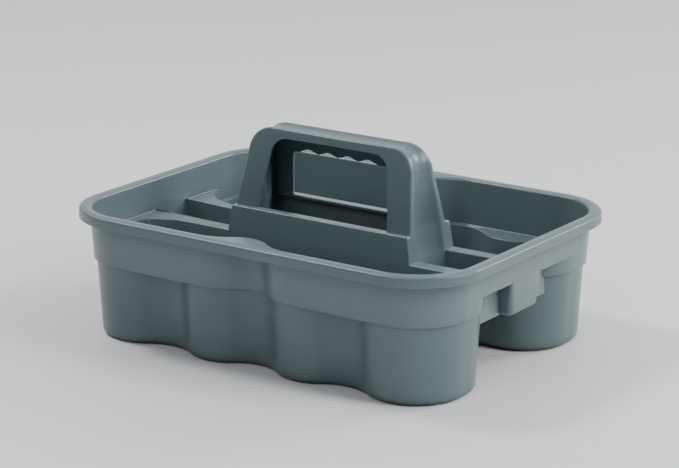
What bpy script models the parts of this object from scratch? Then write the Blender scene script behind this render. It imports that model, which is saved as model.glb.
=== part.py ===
"""Nestable cleaning caddy: two scalloped bottle troughs, two end pockets and a carrying handle.

The real object is one thin-walled injection moulding. Each named region of it is an object of its
own here, split at the moulding's natural lines with a small gap, so every region stays one simple
closed body. The frame is +X along the length, +Y across, +Z up, origin under the middle of the
caddy on the plane that its feet stand on. Lengths are in metres.
"""
import math

import bmesh
import bpy
from mathutils import Vector

# Driving dimensions ------------------------------------------------------------------------------
MM = 0.001
GAP = 0.3 * MM
WALL = 2.5 * MM

# Skeleton of the outline: every contour of the body is an offset of these arcs.
LOBE_X = 131.0 * MM            # corner lobe centre, from the middle
LOBE_Y = 83.6 * MM
LOBE_R = 41.7 * MM             # corner lobe radius on the standing plane
MID_LOBE_X = 43.7 * MM         # middle lobe centre
MID_LOBE_R = 38.0 * MM
MID_LOBE_Y = LOBE_Y + LOBE_R - MID_LOBE_R
SIDE_VALLEY_R = 40.0 * MM      # fillet between a corner lobe and a middle lobe
NOTCH_R = 34.0 * MM            # fillet of the notch in the middle of a long side
INNER_Y = 35.0 * MM            # straight inner side of a trough
INNER_CORNER_X = 132.7 * MM
INNER_CORNER_R = 40.0 * MM

# Heights above the standing plane.
STEP_Z = 64.5 * MM
DECK_Z = 81.2 * MM
LEDGE_Z = 102.8 * MM
LIP_Z = 99.6 * MM
RIM_Z = 108.7 * MM
WALL_TOP_Z = 104.0 * MM
CORNER_Z = 147.4 * MM          # where the handle's round top corners start
TOP_Z = 168.4 * MM

# Wall slopes, as offset gained for each unit of height.
TROUGH_DRAFT = 0.0559
BAND_DRAFT = 0.0683
STEP_OUT = 2.3 * MM

# Rim.
RIM_OFFSET = 17.8 * MM
RIM_UNDER_Z = 106.2 * MM       # top of the open channel under the rim
SKIRT_THICK = 2.2 * MM
CROWN_INSET = 5.6 * MM         # from the rim's outer face to its highest line
RIM_CORNER = 2.2 * MM
RIM_RIB_X = (37.2 * MM, 85.7 * MM, 141.0 * MM)
RIM_RIB_Y = (0.0, 90.0 * MM)
RIB_THICK = 1.5 * MM

# Foot of a trough.
FOOT_FILLET = 5.0 * MM
FOOT_WIDTH = 9.5 * MM
FOOT_RECESS = 1.2 * MM
PAD_X = 147.3 * MM
PAD_Y = 78.0 * MM
PAD_R = 9.7 * MM
PAD_THICK = 0.65 * MM

# End pocket.
POCKET_BASE_Z = 50.3 * MM
POCKET_TOP_HALF = 22.6 * MM
POCKET_BASE_HALF = 20.4 * MM
POCKET_CORNER_R = 4.5 * MM
POCKET_END_X = 178.0 * MM
DECK_START_X = 91.5 * MM
DECK_THICK = 2.5 * MM
WEB_X = 164.5 * MM
CHANNEL_RIB_X = (110.5 * MM, 133.0 * MM)
CHANNEL_RIB_Z = 54.0 * MM

# Handle.
FOOT_HALF_X = 87.2 * MM
SHOULDER_HALF_X = 81.0 * MM
TOP_CORNER_R = 21.0 * MM
FOOT_HALF_Y = 26.2 * MM
Y_SLOPE = 0.2134
TOWER_LEAN = 0.155             # how far the tower's ends spread for each unit below the ledge
FLUTE_DEPTH = 9.0 * MM
FLUTE_HALF = 20.4 * MM
FLUTE_END_Z = 158.0 * MM       # where the flute has faded out
WINDOW_FOOT_X = 64.3 * MM
WINDOW_TOP_X = 58.3 * MM
WINDOW_TOP_Z = 161.2 * MM
WINDOW_CORNER_R = 15.5 * MM
GRIP_EDGE_Z = 143.1 * MM
GRIP_CORNER_R = 3.0 * MM
FINGER_PITCH = 19.9 * MM
FINGER_CUSP = 0.8 * MM         # rise of the edge between two finger hollows
FINGER_DEPTH = 2.7 * MM        # further rise at the middle of a hollow
FINGER_POWER = 0.8             # below 1, a hollow is rounder than a sine wave
FINGER_CENTRE_X = -11.9 * MM
FINGERS = 4

# Steps along each stretch of an outline.
CORNER_STEPS = 8
VALLEY_STEPS = 11
NOTCH_STEPS = 8
INNER_STEPS = 7
STRAIGHT_STEPS = 4
POCKET_CORNER_STEPS = 3
FLUTE_STEPS = 10
GRIP_STEPS = 48

PLASTIC = (0.231, 0.305, 0.315, 1.0)
PAD_TINT = (0.50, 0.56, 0.56, 1.0)


# Scene and materials -------------------------------------------------------------------------------
def clear_scene():
    for item in list(bpy.data.objects):
        bpy.data.objects.remove(item, do_unlink=True)


def make_material(name, colour, roughness):
    material = bpy.data.materials.new(name)
    material.use_nodes = True
    shader = material.node_tree.nodes["Principled BSDF"]
    shader.inputs["Base Color"].default_value = colour
    shader.inputs["Roughness"].default_value = roughness
    shader.inputs["Metallic"].default_value = 0.0
    return material


def satin_plastic():
    return make_material("satin_plastic", PLASTIC, 0.42)


def clear_pad():
    return make_material("clear_pad", PAD_TINT, 0.15)


# Meshes ----------------------------------------------------------------------------------------------
def add_object(name, mesh_data, material):
    mesh = bpy.data.meshes.new(name)
    bmesh.ops.recalc_face_normals(mesh_data, faces=mesh_data.faces)
    mesh_data.to_mesh(mesh)
    mesh_data.free()
    mesh.materials.append(material)
    mesh.shade_smooth()
    mesh.set_sharp_from_angle(angle=math.radians(30.0))
    item = bpy.data.objects.new(name, mesh)
    bpy.context.scene.collection.objects.link(item)
    return item


def bridge(mesh_data, first, second):
    count = len(first)
    for i in range(count):
        j = (i + 1) % count
        mesh_data.faces.new((first[i], first[j], second[j], second[i]))


def add_ring(name, loops, material):
    """Closed band: loops are bridged in turn, and the last one back to the first."""
    mesh_data = bmesh.new()
    rows = [[mesh_data.verts.new(point) for point in loop] for loop in loops]
    for i, row in enumerate(rows):
        bridge(mesh_data, row, rows[(i + 1) % len(rows)])
    return add_object(name, mesh_data, material)


def add_lofts(name, stacks, material):
    """One capped loft for each stack of loops, all in one object."""
    mesh_data = bmesh.new()
    for loops in stacks:
        rows = [[mesh_data.verts.new(point) for point in loop] for loop in loops]
        for first, second in zip(rows, rows[1:]):
            bridge(mesh_data, first, second)
        mesh_data.faces.new(rows[0])
        mesh_data.faces.new(rows[-1])
    return add_object(name, mesh_data, material)


def add_union(item, name, stacks, material):
    """Join overlapping small bodies to an object; the guide object itself isn't part of the caddy."""
    guide = add_lofts(name, stacks, material)
    guide.hide_render = True
    guide.display_type = "WIRE"
    joint = item.modifiers.new("join", "BOOLEAN")
    joint.operation = "UNION"
    joint.solver = "EXACT"
    joint.object = guide


def at_height(outline, z):
    return [Vector((x, y, z)) for x, y in outline]


def prism(outline, low, high):
    return [at_height(outline, low), at_height(outline, high)]


# Outlines --------------------------------------------------------------------------------------------
def trough_offset(z):
    return TROUGH_DRAFT * z


def band_offset(z):
    return trough_offset(STEP_Z) + STEP_OUT + BAND_DRAFT * (z - STEP_Z)


def fillet_centre(ax, ay, ar, bx, by, br, r):
    """Centre of the circle of radius r that touches circles a and b on their -Y side."""
    span = math.hypot(bx - ax, by - ay)
    reach_a = ar + r
    reach_b = br + r
    along = (reach_a ** 2 - reach_b ** 2 + span ** 2) / (2.0 * span)
    across = math.sqrt(reach_a ** 2 - along ** 2)
    ux = (bx - ax) / span
    uy = (by - ay) / span
    return ax + ux * along + uy * across, ay + uy * along - ux * across


def scallop_y(x, offset):
    """Outer side of a front trough at distance x from the middle, up to the corner lobe's centre."""
    lobe_r = LOBE_R + offset
    mid_r = MID_LOBE_R + offset
    if x >= MID_LOBE_X:
        valley_r = SIDE_VALLEY_R - offset
        vx, vy = fillet_centre(MID_LOBE_X, -MID_LOBE_Y, mid_r, LOBE_X, -LOBE_Y, lobe_r, valley_r)
        mid_touch = MID_LOBE_X + (vx - MID_LOBE_X) * mid_r / (mid_r + valley_r)
        lobe_touch = LOBE_X + (vx - LOBE_X) * lobe_r / (lobe_r + valley_r)
        if x > lobe_touch:
            return -LOBE_Y - math.sqrt(lobe_r ** 2 - (x - LOBE_X) ** 2)
        if x > mid_touch:
            return vy + math.sqrt(valley_r ** 2 - (x - vx) ** 2)
        return -MID_LOBE_Y - math.sqrt(mid_r ** 2 - (x - MID_LOBE_X) ** 2)
    notch_r = NOTCH_R - offset
    drop = math.sqrt((mid_r + notch_r) ** 2 - MID_LOBE_X ** 2)
    notch_touch = MID_LOBE_X * notch_r / (mid_r + notch_r)
    if x < notch_touch:
        return -MID_LOBE_Y - drop + math.sqrt(notch_r ** 2 - x ** 2)
    return -MID_LOBE_Y - math.sqrt(mid_r ** 2 - (x - MID_LOBE_X) ** 2)


def long_side(offset, straight, notched):
    """Points of a front long side from the +X corner lobe to the -X one, ends included."""
    peak = -LOBE_Y - LOBE_R - offset
    half = []
    for i in range(VALLEY_STEPS):
        x = LOBE_X + (MID_LOBE_X - LOBE_X) * i / VALLEY_STEPS
        half.append((x, peak if straight else scallop_y(x, offset)))
    for i in range(NOTCH_STEPS + 1):
        x = MID_LOBE_X * (1.0 - i / NOTCH_STEPS)
        half.append((x, scallop_y(x, offset) if notched else peak))
    return half + [(-x, y) for x, y in reversed(half[:-1])]


def arc(cx, cy, r, start, end, steps):
    points = []
    for i in range(steps + 1):
        angle = math.radians(start + (end - start) * i / steps)
        points.append((cx + r * math.cos(angle), cy + r * math.sin(angle)))
    return points


def trough_outline(z, inward=0.0, above_step=False):
    """Outline of the front trough at height z, moved inward by a wall thickness."""
    offset = trough_offset(z) - inward
    extra = band_offset(z) - trough_offset(z) if above_step else 0.0
    right = arc(LOBE_X, -LOBE_Y, LOBE_R + offset + extra, 0.0, -90.0, CORNER_STEPS)
    side = long_side(offset + extra, above_step, True)
    inner = []
    for i in range(INNER_STEPS + 1):
        share = i / INNER_STEPS
        fade = min(1.0, max(0.0, (share - 0.25) / 0.4))
        fade = fade * fade * (3.0 - 2.0 * fade)
        angle = math.radians(90.0 * (1.0 - share))
        radius = INNER_CORNER_R + offset + extra * fade
        centre_y = -INNER_Y - INNER_CORNER_R
        inner.append((INNER_CORNER_X + radius * math.cos(angle), centre_y + radius * math.sin(angle)))
    left_inner = [(-x, y) for x, y in reversed(inner)]
    left = [(-x, y) for x, y in reversed(right)]
    straight = []
    for i in range(1, STRAIGHT_STEPS):
        x = INNER_CORNER_X * (-1.0 + 2.0 * i / STRAIGHT_STEPS)
        straight.append((x, inner[0][1]))
    return right + side[1:-1] + left + left_inner + straight + inner


def body_outline(offset, notched=True):
    """Outline round the whole caddy: straight sides, round corners, a notch in each long side."""
    right = arc(LOBE_X, -LOBE_Y, LOBE_R + offset, 0.0, -90.0, CORNER_STEPS)
    side = long_side(offset, True, notched)
    left = [(-x, y) for x, y in reversed(right)]
    front = right + side[1:-1] + left
    return front + [(-x, -y) for x, y in front]


def mirrored(loops):
    return [[Vector((p.x, -p.y, p.z)) for p in loop] for loop in loops]


# Troughs ---------------------------------------------------------------------------------------------
def trough_loops():
    top = DECK_Z - GAP
    hair = 0.01 * MM           # keeps the two edges of a level step at different heights
    outer = [
        at_height(trough_outline(0.0, FOOT_WIDTH), 0.0),
        at_height(trough_outline(0.0, FOOT_FILLET), 0.0),
        at_height(trough_outline(0.0, 0.3 * FOOT_FILLET), 0.3 * FOOT_FILLET),
        at_height(trough_outline(FOOT_FILLET), FOOT_FILLET),
        at_height(trough_outline(STEP_Z), STEP_Z),
        at_height(trough_outline(STEP_Z, 0.0, True), STEP_Z + hair),
        at_height(trough_outline(top, 0.0, True), top),
    ]
    shelf = STEP_Z + WALL
    inner = [
        at_height(trough_outline(top, WALL, True), top),
        at_height(trough_outline(shelf, WALL, True), shelf + hair),
        at_height(trough_outline(shelf, WALL), shelf),
        at_height(trough_outline(FOOT_FILLET, WALL), FOOT_FILLET + WALL),
        at_height(trough_outline(0.0, FOOT_FILLET), FOOT_RECESS + WALL),
        at_height(trough_outline(0.0, FOOT_WIDTH), FOOT_RECESS + WALL),
    ]
    return outer + inner


def floor_loops():
    rim = FOOT_WIDTH + GAP
    return [
        at_height(trough_outline(0.0, rim), FOOT_RECESS),
        at_height(trough_outline(0.0, rim), FOOT_RECESS + WALL),
    ]


def make_troughs(plastic):
    add_ring("front_trough", trough_loops(), plastic)
    add_ring("rear_trough", mirrored(trough_loops()), plastic)
    add_lofts("front_trough_floor", [floor_loops()], plastic)
    add_lofts("rear_trough_floor", [mirrored(floor_loops())], plastic)


def make_pads(pad_material):
    high = FOOT_RECESS - GAP
    for end, sx in (("left", -1), ("right", 1)):
        for side, sy in (("front", -1), ("rear", 1)):
            disc = arc(sx * PAD_X, sy * PAD_Y, PAD_R, 0.0, 360.0, 20)[:-1]
            add_lofts(f"base_pad_{side}_{end}", [prism(disc, high - PAD_THICK, high)], pad_material)


# Upper wall and rim ------------------------------------------------------------------------------------
def make_upper_wall(plastic):
    loops = [
        at_height(body_outline(band_offset(DECK_Z)), DECK_Z),
        at_height(body_outline(band_offset(WALL_TOP_Z)), WALL_TOP_Z),
        at_height(body_outline(band_offset(WALL_TOP_Z) - WALL), WALL_TOP_Z),
        at_height(body_outline(band_offset(DECK_Z) - WALL), DECK_Z),
    ]
    add_ring("upper_wall", loops, plastic)


def make_rim(plastic):
    """Rim: an outer skirt with a round shoulder, a crowned top, and a wall side that follows the notch."""
    wall_out = band_offset(WALL_TOP_Z)
    wall_in = wall_out - WALL
    base = WALL_TOP_Z + GAP
    shoulder = RIM_OFFSET - 0.5 * MM
    section = (
        (RIM_OFFSET, LIP_Z, False),
        (shoulder, RIM_Z - 1.3 * RIM_CORNER, False),
        (RIM_OFFSET - RIM_CORNER, RIM_Z - 0.3 * RIM_CORNER, False),
        (RIM_OFFSET - CROWN_INSET, RIM_Z, False),
        (wall_in + RIM_CORNER, RIM_Z - 0.3 * MM, True),
        (wall_in + 0.3 * RIM_CORNER, RIM_Z - 0.7 * RIM_CORNER, True),
        (wall_in, base, True),
        (wall_out, base, True),
        (wall_out + GAP, RIM_UNDER_Z, True),
        (RIM_OFFSET - SKIRT_THICK - 1.0 * MM, RIM_UNDER_Z, False),
        (RIM_OFFSET - SKIRT_THICK, LIP_Z, False),
    )
    loops = [at_height(body_outline(offset, notched), z) for offset, z, notched in section]
    rim = add_ring("rim", loops, plastic)
    add_union(rim, "rim_rib_guide", rim_rib_stacks(), plastic)


def box_loops(x0, x1, y0, y1, z0, z1):
    outline = ((x0, y0), (x1, y0), (x1, y1), (x0, y1))
    return prism(outline, z0, z1)


def rim_rib_stacks():
    """Thin cross ribs in the channel under the rim, sunk a little into its skirt and top."""
    lap = 0.8 * MM
    low = LIP_Z + lap
    high = RIM_UNDER_Z + lap
    near = band_offset(WALL_TOP_Z) + GAP
    far = RIM_OFFSET - 0.5 * SKIRT_THICK
    half = 0.5 * RIB_THICK
    edge_y = LOBE_Y + LOBE_R
    edge_x = LOBE_X + LOBE_R
    stacks = []
    for sign in (-1, 1):
        for x in RIM_RIB_X:
            inner = -scallop_y(x, near) + lap if x < MID_LOBE_X else edge_y + near
            for end in (-1, 1):
                ys = sorted((sign * inner, sign * (edge_y + far)))
                stacks.append(box_loops(end * x - half, end * x + half, ys[0], ys[1], low, high))
        for y in (-RIM_RIB_Y[1], RIM_RIB_Y[0], RIM_RIB_Y[1]):
            xs = sorted((sign * (edge_x + near), sign * (edge_x + far)))
            stacks.append(box_loops(xs[0], xs[1], y - half, y + half, low, high))
    return stacks


# End pockets, decks and channel ribs -------------------------------------------------------------------
def strip_x(z):
    """Half length of the tower at height z, measured on the flat strips beside the flutes."""
    return FOOT_HALF_X + TOWER_LEAN * (LEDGE_Z - z)


def flute_x(y, z):
    """Face of the fluted end wall: hollow in the middle, spreading as it goes down."""
    share = min(1.0, abs(y) / FLUTE_HALF)
    return strip_x(z) - FLUTE_DEPTH * (1.0 - share ** 2)


def to_end(loops, end):
    return [[Vector((end * p.x, p.y, p.z)) for p in loop] for loop in loops]


def pocket_half(z):
    share = (z - POCKET_BASE_Z) / (DECK_Z - POCKET_BASE_Z)
    return POCKET_BASE_HALF + (POCKET_TOP_HALF - POCKET_BASE_HALF) * share


def band_x(z):
    return LOBE_X + LOBE_R + band_offset(z)


def pocket_ring(z, shrink):
    """Plan of a pocket at height z: the flute's hollow at the inner end, round corners at the outer end."""
    half = pocket_half(z) - shrink
    share = (z - POCKET_BASE_Z) / (DECK_Z - POCKET_BASE_Z)
    end = POCKET_END_X + (band_x(DECK_Z) - POCKET_END_X) * share - shrink
    radius = max(0.3 * POCKET_CORNER_R, POCKET_CORNER_R - shrink)
    corner = arc(end - radius, -half + radius, radius, -90.0, 0.0, POCKET_CORNER_STEPS)
    far = [(x, -y) for x, y in reversed(corner)]
    flute = []
    for i in range(FLUTE_STEPS + 1):
        y = half * (1.0 - 2.0 * i / FLUTE_STEPS)
        flute.append((flute_x(y, z) - WALL + shrink, y))
    return at_height(flute + corner + far, z)


def make_pockets(plastic):
    top = DECK_Z - GAP
    floor = POCKET_BASE_Z + WALL
    fillet = 3.0 * MM
    soft = 1.5 * MM
    cup = [
        pocket_ring(POCKET_BASE_Z, fillet),
        pocket_ring(POCKET_BASE_Z + 0.3 * fillet, 0.3 * fillet),
        pocket_ring(POCKET_BASE_Z + fillet, 0.0),
        pocket_ring(top, 0.0),
        pocket_ring(top, WALL),
        pocket_ring(floor + soft, WALL),
        pocket_ring(floor, WALL + soft),
    ]
    for name, end in (("left", -1), ("right", 1)):
        add_lofts(f"{name}_pocket", [to_end(cup, end)], plastic)


def end_wall_section(z):
    """Plan of the tower's end wall at height z, between the two side walls."""
    half = INNER_Y - trough_offset(z) - GAP
    ys = [half * (2.0 * i / FLUTE_STEPS - 1.0) for i in range(FLUTE_STEPS + 1)]
    face = [(flute_x(y, z), y) for y in ys]
    back = [(flute_x(y, z) - WALL, y) for y in reversed(ys)]
    return at_height(face + back, z)


def make_tower_ends(plastic):
    wall = [end_wall_section(DECK_Z + GAP), end_wall_section(LEDGE_Z - WALL - GAP)]
    for name, end in (("left", -1), ("right", 1)):
        add_lofts(f"{name}_tower_end_wall", [to_end(wall, end)], plastic)


def inner_side_y(x, z, clearance):
    """Centre-facing side of the front trough at x, seen as a distance from the middle plane."""
    radius = INNER_CORNER_R + trough_offset(z) + clearance
    centre = INNER_Y + INNER_CORNER_R
    if x <= INNER_CORNER_X:
        return centre - radius
    return centre - math.sqrt(radius ** 2 - (x - INNER_CORNER_X) ** 2)


def deck_outline(z):
    """Front deck plate between pocket and trough, out to the short end, stopping before the lobe."""
    radius = INNER_CORNER_R + band_offset(z) + 2 * GAP
    centre_y = -INNER_Y - INNER_CORNER_R
    end = band_x(z)
    start = DECK_START_X
    near_y = -POCKET_TOP_HALF - 2 * GAP
    points = [(start, near_y), (end, near_y)]
    turn = arc(INNER_CORNER_X, centre_y, radius, 0.0, 90.0, INNER_STEPS)[1:]
    tip_x, tip_y = turn[0]
    points.append((end, tip_y))
    if tip_x < end - 0.2 * MM:
        points.append((tip_x, tip_y))
    points += turn[1:]
    points.append((start, turn[-1][1]))
    return points


def across_channel(x0, x1, sx, sy, z, near, far):
    return at_height([(sx * x, -sy * y) for x, y in ((x0, near), (x1, near), (x1, far), (x0, far))], z)


def under_deck_stacks(sx, sy):
    """The set-back web that closes the channel at the short end, and two thin ribs behind it."""
    high = DECK_Z - 0.5 * DECK_THICK
    half = 0.5 * RIB_THICK
    web = []
    for z in (POCKET_BASE_Z, high):
        near = POCKET_TOP_HALF + GAP
        clearance = GAP + (band_offset(z) - trough_offset(z) if z > STEP_Z else 2 * GAP)
        far = inner_side_y(WEB_X, z, clearance)
        web.append(across_channel(WEB_X, WEB_X + WALL, sx, sy, z, near, far))
    stacks = [web]
    for x in CHANNEL_RIB_X:
        rib = []
        for z in (CHANNEL_RIB_Z, high):
            near = POCKET_TOP_HALF + GAP
            far = inner_side_y(x, high, GAP)
            rib.append(across_channel(x - half, x + half, sx, sy, z, near, far))
        stacks.append(rib)
    return stacks


def make_decks(plastic):
    low = DECK_Z - DECK_THICK
    for end_name, sx in (("left", -1), ("right", 1)):
        for side_name, sy in (("front", 1), ("rear", -1)):
            outline = [(sx * x, sy * y) for x, y in deck_outline(low)]
            name = f"{side_name}_{end_name}_deck"
            deck = add_lofts(name, [prism(outline, low, DECK_Z - GAP)], plastic)
            add_union(deck, f"{name}_guide", under_deck_stacks(sx, sy), plastic)


# Spine -------------------------------------------------------------------------------------------------
def make_spine(plastic):
    """Raised block round the handle's foot: a sloping side wall under a narrow ledge."""
    low = DECK_Z
    side_low = INNER_Y - trough_offset(low) + WALL
    side_top = INNER_Y - trough_offset(LEDGE_Z) + WALL
    ledge_in = FOOT_HALF_Y - WALL
    edge = 0.8 * MM
    section = (
        (side_low, low),
        (side_top, LEDGE_Z - edge),
        (side_top - edge, LEDGE_Z),
        (ledge_in, LEDGE_Z),
        (ledge_in, LEDGE_Z - WALL),
        (side_top - WALL, LEDGE_Z - WALL),
        (side_low - WALL, low),
    )
    for name, sign in (("front", -1), ("rear", 1)):
        loops = []
        for end in (-1, 1):
            loops.append([Vector((end * strip_x(z), sign * y, z)) for y, z in section])
        add_lofts(f"{name}_spine", [loops], plastic)


# Handle --------------------------------------------------------------------------------------------------
def handle_y(z):
    return FOOT_HALF_Y - Y_SLOPE * (z - LEDGE_Z)


def finger_rise(x):
    """How far the grip's rear edge rises at x over the finger hollows and the cusps between them."""
    share = (x - FINGER_CENTRE_X) / FINGER_PITCH + 0.5 * FINGERS
    if share <= 0.0 or share >= FINGERS:
        return 0.0
    return FINGER_CUSP + FINGER_DEPTH * math.sin(math.pi * (share % 1.0)) ** FINGER_POWER


def handle_stations():
    """Outer, front inner and rear inner edge points in X and Z, from the +X foot to the -X foot."""
    foot = LEDGE_Z + GAP
    stations = []
    leg_steps = 4
    for i in range(leg_steps):
        share = i / leg_steps
        z_out = foot + (CORNER_Z - foot) * share
        z_front = foot + (WINDOW_TOP_Z - WINDOW_CORNER_R - foot) * share
        z_rear = foot + (GRIP_EDGE_Z - GRIP_CORNER_R - foot) * share
        x_out = FOOT_HALF_X + (SHOULDER_HALF_X - FOOT_HALF_X) * share
        x_in = WINDOW_FOOT_X + (WINDOW_TOP_X - WINDOW_FOOT_X) * share
        stations.append(((x_out, z_out), (x_in, z_front), (x_in, z_rear)))
    corner_steps = 6
    for i in range(corner_steps + 1):
        angle = math.radians(90.0 * i / corner_steps)
        turn = []
        for edge_x, edge_z, radius in (
            (SHOULDER_HALF_X, TOP_Z, TOP_CORNER_R),
            (WINDOW_TOP_X, WINDOW_TOP_Z, WINDOW_CORNER_R),
            (WINDOW_TOP_X, GRIP_EDGE_Z, GRIP_CORNER_R),
        ):
            x = edge_x - radius + radius * math.cos(angle)
            z = edge_z - radius + radius * math.sin(angle)
            turn.append((x, z))
        stations.append(tuple(turn))
    return stations


def grip_stations():
    stations = []
    out_half = SHOULDER_HALF_X - TOP_CORNER_R
    front_half = WINDOW_TOP_X - WINDOW_CORNER_R
    rear_half = WINDOW_TOP_X - GRIP_CORNER_R
    for i in range(1, GRIP_STEPS):
        share = 1.0 - 2.0 * i / GRIP_STEPS
        rear_x = rear_half * share
        rear = (rear_x, GRIP_EDGE_Z + finger_rise(rear_x))
        stations.append(((out_half * share, TOP_Z), (front_half * share, WINDOW_TOP_Z), rear))
    return stations


def inward_at(xo, zo):
    """Direction in X and Z from the handle's outer face into its hollow."""
    if zo <= CORNER_Z:
        return -math.copysign(1.0, xo), 0.0
    centre_x = math.copysign(SHOULDER_HALF_X - TOP_CORNER_R, xo)
    if abs(xo) <= abs(centre_x):
        return 0.0, -1.0
    length = math.hypot(centre_x - xo, CORNER_Z - zo)
    return (centre_x - xo) / length, (CORNER_Z - zo) / length


def handle_section(station):
    """Section of the wall: front face, fluted outer face, rear face, then back along the inside."""
    (xo, zo), (xf, zf), (xr, zr) = station
    inward_x, inward_z = inward_at(xo, zo)
    flute = FLUTE_DEPTH * max(0.0, (FLUTE_END_Z - zo) / (FLUTE_END_Z - LEDGE_Z))
    yo = handle_y(zo)
    skin = [(xf, -handle_y(zf), zf), (xo, -yo, zo)]
    across = 4
    for i in range(1, across):
        share = 2.0 * i / across - 1.0
        dip = flute * (1.0 - share ** 2)
        skin.append((xo + inward_x * dip, yo * share, zo + inward_z * dip))
    skin += [(xo, yo, zo), (xr, handle_y(zr), zr)]
    last = len(skin) - 1
    inside = []
    for i, (x, y, z) in enumerate(skin):
        to_middle = 1.0 if i < 2 else (-1.0 if i > last - 2 else 0.0)
        move = 0.0 if i in (0, last) else WALL
        inside.append((x + inward_x * move, y + to_middle * WALL, z + inward_z * move))
    return [Vector(p) for p in skin + inside[::-1]]


def handle_loops():
    leg = handle_stations()
    far_leg = [tuple((-x, z) for x, z in station) for station in reversed(leg)]
    return [handle_section(station) for station in leg + grip_stations() + far_leg]


def make_handle(plastic):
    """Hollow arch, open below: two fluted legs and a grip bar with finger hollows at the back."""
    rows = handle_loops()
    legs = len(handle_stations())
    gap_shift = Vector((GAP, 0.0, 0.0))
    grip_start = [p - gap_shift for p in rows[legs - 1]]
    grip_end = [p + gap_shift for p in rows[-legs]]
    add_lofts("handle_right_leg", [rows[:legs]], plastic)
    add_lofts("handle_grip", [[grip_start] + rows[legs:-legs] + [grip_end]], plastic)
    add_lofts("handle_left_leg", [rows[-legs:]], plastic)


def main():
    clear_scene()
    plastic = satin_plastic()
    make_troughs(plastic)
    make_pads(clear_pad())
    make_upper_wall(plastic)
    make_rim(plastic)
    make_pockets(plastic)
    make_tower_ends(plastic)
    make_decks(plastic)
    make_spine(plastic)
    make_handle(plastic)


main()
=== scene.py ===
"""Looks of the nestable cleaning caddy: the moulding's fine surfaces, its plastic, and a plain studio.

Every surface is lofted from the same few arcs as the frame, with the moulding's real fillets,
ledges and ribs. Lengths are in metres: +X along the caddy, +Y across, +Z up.
"""
import math

import bmesh
import bpy
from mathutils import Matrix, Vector


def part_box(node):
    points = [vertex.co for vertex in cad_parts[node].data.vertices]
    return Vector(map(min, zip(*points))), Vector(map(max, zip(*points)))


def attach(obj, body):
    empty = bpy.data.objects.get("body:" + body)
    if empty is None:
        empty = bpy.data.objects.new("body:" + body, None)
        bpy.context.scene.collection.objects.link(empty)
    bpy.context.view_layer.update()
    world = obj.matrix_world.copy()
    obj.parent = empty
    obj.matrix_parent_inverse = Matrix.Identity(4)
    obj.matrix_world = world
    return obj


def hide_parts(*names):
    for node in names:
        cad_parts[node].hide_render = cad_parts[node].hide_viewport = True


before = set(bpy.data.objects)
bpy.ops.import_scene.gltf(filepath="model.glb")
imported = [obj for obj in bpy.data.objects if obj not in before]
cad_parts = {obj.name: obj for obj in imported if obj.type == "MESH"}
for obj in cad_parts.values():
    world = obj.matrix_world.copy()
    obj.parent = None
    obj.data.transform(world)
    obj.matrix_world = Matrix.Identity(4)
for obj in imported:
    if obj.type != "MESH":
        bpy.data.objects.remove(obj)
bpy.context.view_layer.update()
MM = 0.001

# Heights, from the frame where it has them ----------------------------------------------------------
RIM_LOW, RIM_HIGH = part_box("rim")
LIP_Z = RIM_LOW.z
RIM_Z = RIM_HIGH.z
DECK_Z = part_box("upper_wall")[0].z
LEDGE_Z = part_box("front_spine")[1].z
TOP_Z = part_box("handle_grip")[1].z
POCKET_BASE_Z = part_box("left_pocket")[0].z
SOFFIT_Z = DECK_Z - 2.5 * MM
JOIN_Z = DECK_Z - 1.5 * MM          # where troughs and pockets meet the decks and the upper wall
STEP_Z = 64.5 * MM                  # where the band stands out over the scallops
SHELF_Z = 69.6 * MM                 # the same step on the inside, a shelf that slopes into the trough
SHELF_SLOPE = 0.24
SHELF_DROP = 2.6 * MM
CHANNEL_TOP_Z = 106.2 * MM          # roof of the open channel under the rim
CHANNEL_RIB_Z = 54.0 * MM           # lower edge of the thin ribs between pockets and troughs
WALL_START_Z = 20.0 * MM            # where a trough's wall goes on above its foot and floor fillets

# Skeleton of the outline ----------------------------------------------------------------------------
WALL = 2.5 * MM
SKIRT_THICK = 2.2 * MM
RIB_THICK = 1.4 * MM
LOBE_X = 131.0 * MM
LOBE_Y = 83.6 * MM
LOBE_R = 41.7 * MM
MID_LOBE_X = 43.7 * MM
MID_LOBE_R = 38.0 * MM
MID_LOBE_Y = LOBE_Y + LOBE_R - MID_LOBE_R
SIDE_VALLEY_R = 40.0 * MM
NOTCH_R = 34.0 * MM
INNER_Y = 35.0 * MM
INNER_CORNER_X = 132.7 * MM
INNER_CORNER_R = 40.0 * MM
RIM_OFFSET = RIM_HIGH.x - LOBE_X - LOBE_R

TROUGH_DRAFT = 0.0559
BAND_DRAFT = 0.0683
STEP_OUT = 2.3 * MM
STEP_FADE_START = 0.25              # the step grows over this stretch of a trough's inner corner,
STEP_FADE_LENGTH = 0.4              # as shares of the corner's turn

# Foot, pocket and rim details -----------------------------------------------------------------------
FOOT_WIDTH = 9.5 * MM
FOOT_SLOPE = 2.4 * MM
FOOT_RECESS = 1.2 * MM
FOOT_FILLET = 5.0 * MM
FLOOR_Z = FOOT_RECESS + WALL
FLOOR_FILLET = 4.5 * MM
STEP_EDGE = 0.7 * MM                # roundings of the step outside, and of the shelf inside
SHELF_EDGE = 1.0 * MM
DECK_START_X = 88.6 * MM
DECK_EDGE = 1.1 * MM
DECK_TIP_ANGLE = 2.0                # degrees by which a deck's tip stops short of the trough's end
POCKET_TOP_HALF = 22.6 * MM
POCKET_BASE_HALF = 20.4 * MM
POCKET_END_X = 178.0 * MM
POCKET_CORNER_R = 5.5 * MM
POCKET_FILLET = 4.0 * MM
RIM_CROWN_IN = 5.6 * MM             # how far in from the rim's edge its highest line lies
RIM_RIB_X = (37.2 * MM, 85.7 * MM, 141.0 * MM)
RIM_RIB_Y = (-90.0 * MM, 0.0, 90.0 * MM)
WEB_X = 165.75 * MM
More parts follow.
